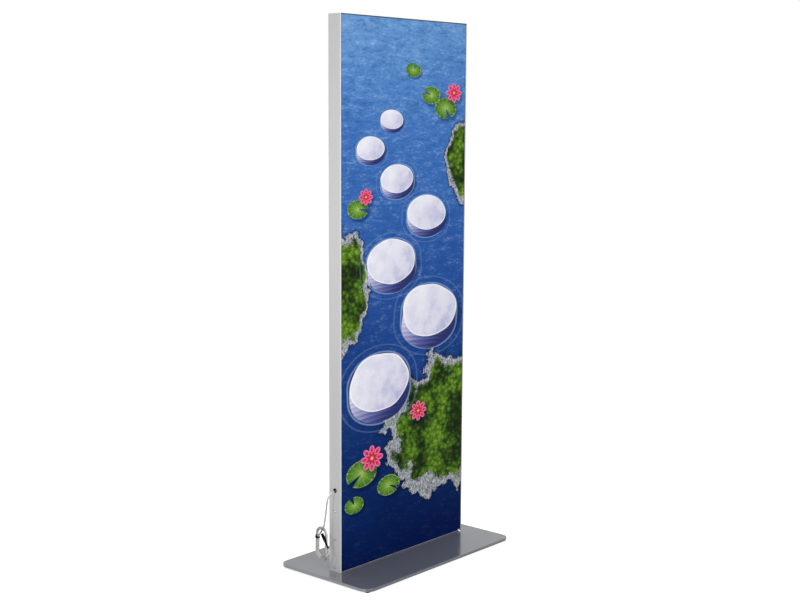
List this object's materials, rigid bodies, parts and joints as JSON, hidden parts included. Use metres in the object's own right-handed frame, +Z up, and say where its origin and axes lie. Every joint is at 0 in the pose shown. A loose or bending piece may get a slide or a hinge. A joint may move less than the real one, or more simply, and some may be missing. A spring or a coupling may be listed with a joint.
{
  "type": "led light box totem",
  "caption": "Free-standing tall light box: slim aluminium frame with a backlit textile print on both faces, on a flat steel base plate, with its supply lead in a tied hank.",
  "frame": {"origin": "on the floor under the middle of the panel, at the underside of the rubber pads", "axes": "+Z up, the front print faces -Y, the supply lead leaves the side that faces -X"},
  "size_m": [0.79, 0.425, 1.903],
  "materials": {
    "anodised_aluminium": "satin silver anodised",
    "cast_bracket": "plain cast",
    "powder_coated_steel": "silver-grey powder coat, semi-gloss",
    "screw_steel": "bright zinc",
    "black_rubber": "matt",
    "printed_textile": "dye-printed knitted polyester, backlit",
    "silicone_strip": "matt",
    "white_tape": "woven tape",
    "led_board": "white lacquered board with clear lenses",
    "white_plastic": "moulded",
    "white_cord": "smooth flexible sheath",
    "black_plastic": "moulded"
  },
  "bodies": {
    "root": {"base_plate": "powder_coated_steel", "bottom_left_bracket": "cast_bracket", "bottom_profile": "anodised_aluminium", "bottom_right_bracket": "cast_bracket", "cable_tie": "black_plastic", "cord_grommet": "black_rubber", "cord_hank": "white_cord", "cord_lead": "white_cord", "cord_tail": "white_cord", "crossbar": "anodised_aluminium", "front_edge_strip": "silicone_strip", "front_print": "printed_textile", "front_pull_tab": "white_tape", "junction_box": "white_plastic", "junction_lid": "white_plastic", "left_base_screw_1": "screw_steel", "left_base_screw_2": "screw_steel", "left_base_screw_3": "screw_steel", "left_crossbar_foot": "cast_bracket", "left_led_lead": "white_cord", "left_lower_led_jumper": "white_cord", "left_lower_led_strip": "led_board", "left_middle_led_strip": "led_board", "left_profile": "anodised_aluminium", "left_upper_led_jumper": "white_cord", "left_upper_led_strip": "led_board", "left_upright": "powder_coated_steel", "plate_screw_1": "screw_steel", "plate_screw_2": "screw_steel", "plate_screw_3": "screw_steel", "plate_screw_4": "screw_steel", "rear_edge_strip": "silicone_strip", "rear_print": "printed_textile", "rear_pull_tab": "white_tape", "right_base_screw_1": "screw_steel", "right_base_screw_2": "screw_steel", "right_base_screw_3": "screw_steel", "right_crossbar_foot": "cast_bracket", "right_led_lead": "white_cord", "right_lower_led_jumper": "white_cord", "right_lower_led_strip": "led_board", "right_middle_led_strip": "led_board", "right_profile": "anodised_aluminium", "right_upper_led_jumper": "white_cord", "right_upper_led_strip": "led_board", "right_upright": "powder_coated_steel", "rubber_pad_1": "black_rubber", "rubber_pad_2": "black_rubber", "rubber_pad_3": "black_rubber", "rubber_pad_4": "black_rubber", "rubber_pad_5": "black_rubber", "rubber_pad_6": "black_rubber", "rubber_pad_7": "black_rubber", "rubber_pad_8": "black_rubber", "socket_body": "black_plastic", "socket_pin": "screw_steel", "supply_lead_inner": "white_cord", "top_left_bracket": "cast_bracket", "top_profile": "anodised_aluminium", "top_right_bracket": "cast_bracket"}
  },
  "joints": []
}
